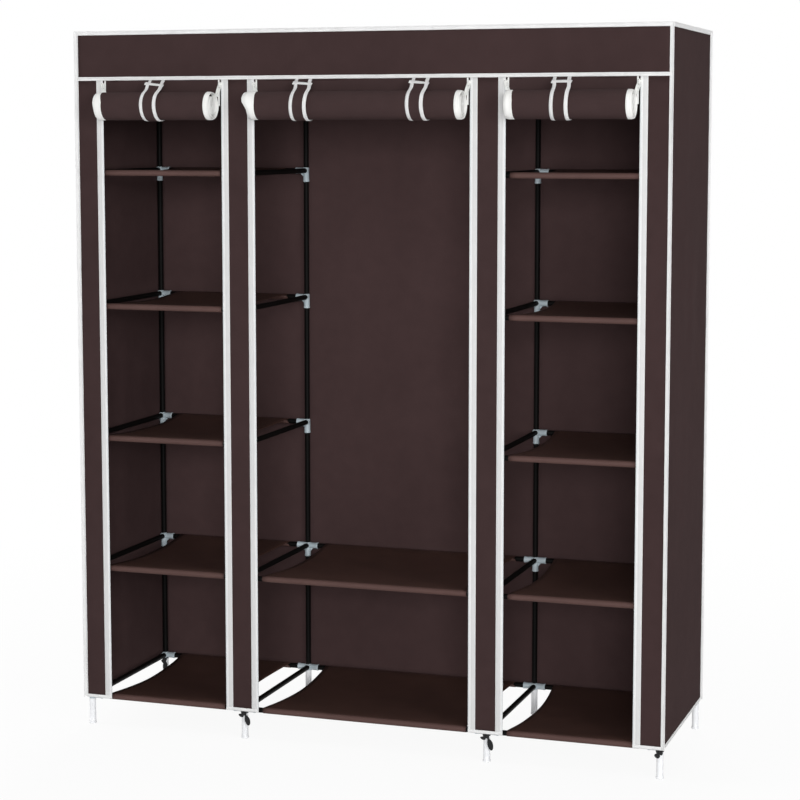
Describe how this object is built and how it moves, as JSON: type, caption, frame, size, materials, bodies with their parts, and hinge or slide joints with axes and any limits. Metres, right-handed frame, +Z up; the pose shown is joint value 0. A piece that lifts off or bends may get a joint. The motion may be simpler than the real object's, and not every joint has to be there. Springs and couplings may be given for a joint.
{
  "type": "portable fabric wardrobe",
  "caption": "Three-column cloth wardrobe: tube frame with cloth shelves and a hanging rod, under a sewn cover with roll-up zipped doors.",
  "frame": {"origin": "on the floor, under the middle of the whole object with its rolled doors", "axes": "+Z up, +X to the right seen from the front, -Y towards the person who opens it"},
  "size_m": [1.5, 0.5468, 1.75],
  "materials": {
    "cover_cloth": "matte",
    "door_cloth": "matte",
    "shelf_cloth": "matte",
    "binding": "matte",
    "frame_tube": "satin",
    "connector": "satin",
    "leg": "satin",
    "zip_metal": "satin"
  },
  "bodies": {
    "wardrobe": {"frame_left": "frame_tube", "leg_front_left": "leg", "leg_rear_left": "leg", "frame_divider_left": "frame_tube", "leg_front_divider_left": "leg", "leg_rear_divider_left": "leg", "frame_divider_right": "frame_tube", "leg_front_divider_right": "leg", "leg_rear_divider_right": "leg", "frame_right": "frame_tube", "leg_front_right": "leg", "leg_rear_right": "leg", "shelf_left_1": "shelf_cloth", "shelf_left_2": "shelf_cloth", "shelf_left_3": "shelf_cloth", "shelf_left_4": "shelf_cloth", "shelf_left_5": "shelf_cloth", "top_rail_left_front": "frame_tube", "top_rail_left_rear": "frame_tube", "shelf_center_1": "shelf_cloth", "shelf_center_2": "shelf_cloth", "top_rail_center_front": "frame_tube", "top_rail_center_rear": "frame_tube", "shelf_right_1": "shelf_cloth", "shelf_right_2": "shelf_cloth", "shelf_right_3": "shelf_cloth", "shelf_right_4": "shelf_cloth", "shelf_right_5": "shelf_cloth", "top_rail_right_front": "frame_tube", "top_rail_right_rear": "frame_tube", "hanging_rod": "frame_tube", "cover_front": "cover_cloth", "cover_back": "cover_cloth", "cover_left": "cover_cloth", "cover_right": "cover_cloth", "cover_top": "cover_cloth", "door_curtain_left": "door_cloth", "strap_left": "binding", "door_curtain_center": "door_cloth", "strap_center_1": "binding", "strap_center_2": "binding", "door_curtain_right": "door_cloth", "strap_right": "binding"},
    "door_left": {"door_roll_left": "door_cloth"},
    "slider_1": {"zip_slider_1": "zip_metal"},
    "pull_1": {"zip_pull_1": "zip_metal"},
    "slider_2": {"zip_slider_2": "zip_metal"},
    "pull_2": {"zip_pull_2": "zip_metal"},
    "door_center": {"door_roll_center": "door_cloth"},
    "slider_3": {"zip_slider_3": "zip_metal"},
    "pull_3": {"zip_pull_3": "zip_metal"},
    "slider_4": {"zip_slider_4": "zip_metal"},
    "pull_4": {"zip_pull_4": "zip_metal"},
    "door_right": {"door_roll_right": "door_cloth"},
    "slider_5": {"zip_slider_5": "zip_metal"},
    "pull_5": {"zip_pull_5": "zip_metal"},
    "slider_6": {"zip_slider_6": "zip_metal"},
    "pull_6": {"zip_pull_6": "zip_metal"}
  },
  "joints": [
    {"name": "door_left_drop", "type": "slide", "parent": "wardrobe", "child": "door_left", "axis": [0, 0, -1], "range_m": [0, 1.45], "deforming": ["door_curtain_left", "strap_left"]},
    {"name": "slider_1_run", "type": "slide", "parent": "wardrobe", "child": "slider_1", "axis": [0, 0, -1], "range_m": [0, 1.52]},
    {"name": "pull_1_swing", "type": "hinge", "parent": "slider_1", "child": "pull_1", "pos_m": [-0.675, -0.2081, 1.616], "axis": [-1, 0, 0], "range_deg": [0, 150]},
    {"name": "slider_2_run", "type": "slide", "parent": "wardrobe", "child": "slider_2", "axis": [0, 0, -1], "range_m": [0, 1.52]},
    {"name": "pull_2_swing", "type": "hinge", "parent": "slider_2", "child": "pull_2", "pos_m": [-0.355, -0.2081, 1.616], "axis": [-1, 0, 0], "range_deg": [0, 150]},
    {"name": "door_center_drop", "type": "slide", "parent": "wardrobe", "child": "door_center", "axis": [0, 0, -1], "range_m": [0, 1.45], "deforming": ["door_curtain_center", "strap_center_1", "strap_center_2"]},
    {"name": "slider_3_run", "type": "slide", "parent": "wardrobe", "child": "slider_3", "axis": [0, 0, -1], "range_m": [0, 1.52]},
    {"name": "pull_3_swing", "type": "hinge", "parent": "slider_3", "child": "pull_3", "pos_m": [-0.273, -0.2081, 1.616], "axis": [-1, 0, 0], "range_deg": [0, 150]},
    {"name": "slider_4_run", "type": "slide", "parent": "wardrobe", "child": "slider_4", "axis": [0, 0, -1], "range_m": [0, 1.52]},
    {"name": "pull_4_swing", "type": "hinge", "parent": "slider_4", "child": "pull_4", "pos_m": [0.273, -0.2081, 1.616], "axis": [-1, 0, 0], "range_deg": [0, 150]},
    {"name": "door_right_drop", "type": "slide", "parent": "wardrobe", "child": "door_right", "axis": [0, 0, -1], "range_m": [0, 1.45], "deforming": ["door_curtain_right", "strap_right"]},
    {"name": "slider_5_run", "type": "slide", "parent": "wardrobe", "child": "slider_5", "axis": [0, 0, -1], "range_m": [0, 1.52]},
    {"name": "pull_5_swing", "type": "hinge", "parent": "slider_5", "child": "pull_5", "pos_m": [0.355, -0.2081, 1.616], "axis": [-1, 0, 0], "range_deg": [0, 150]},
    {"name": "slider_6_run", "type": "slide", "parent": "wardrobe", "child": "slider_6", "axis": [0, 0, -1], "range_m": [0, 1.52]},
    {"name": "pull_6_swing", "type": "hinge", "parent": "slider_6", "child": "pull_6", "pos_m": [0.675, -0.2081, 1.616], "axis": [-1, 0, 0], "range_deg": [0, 150]}
  ]
}
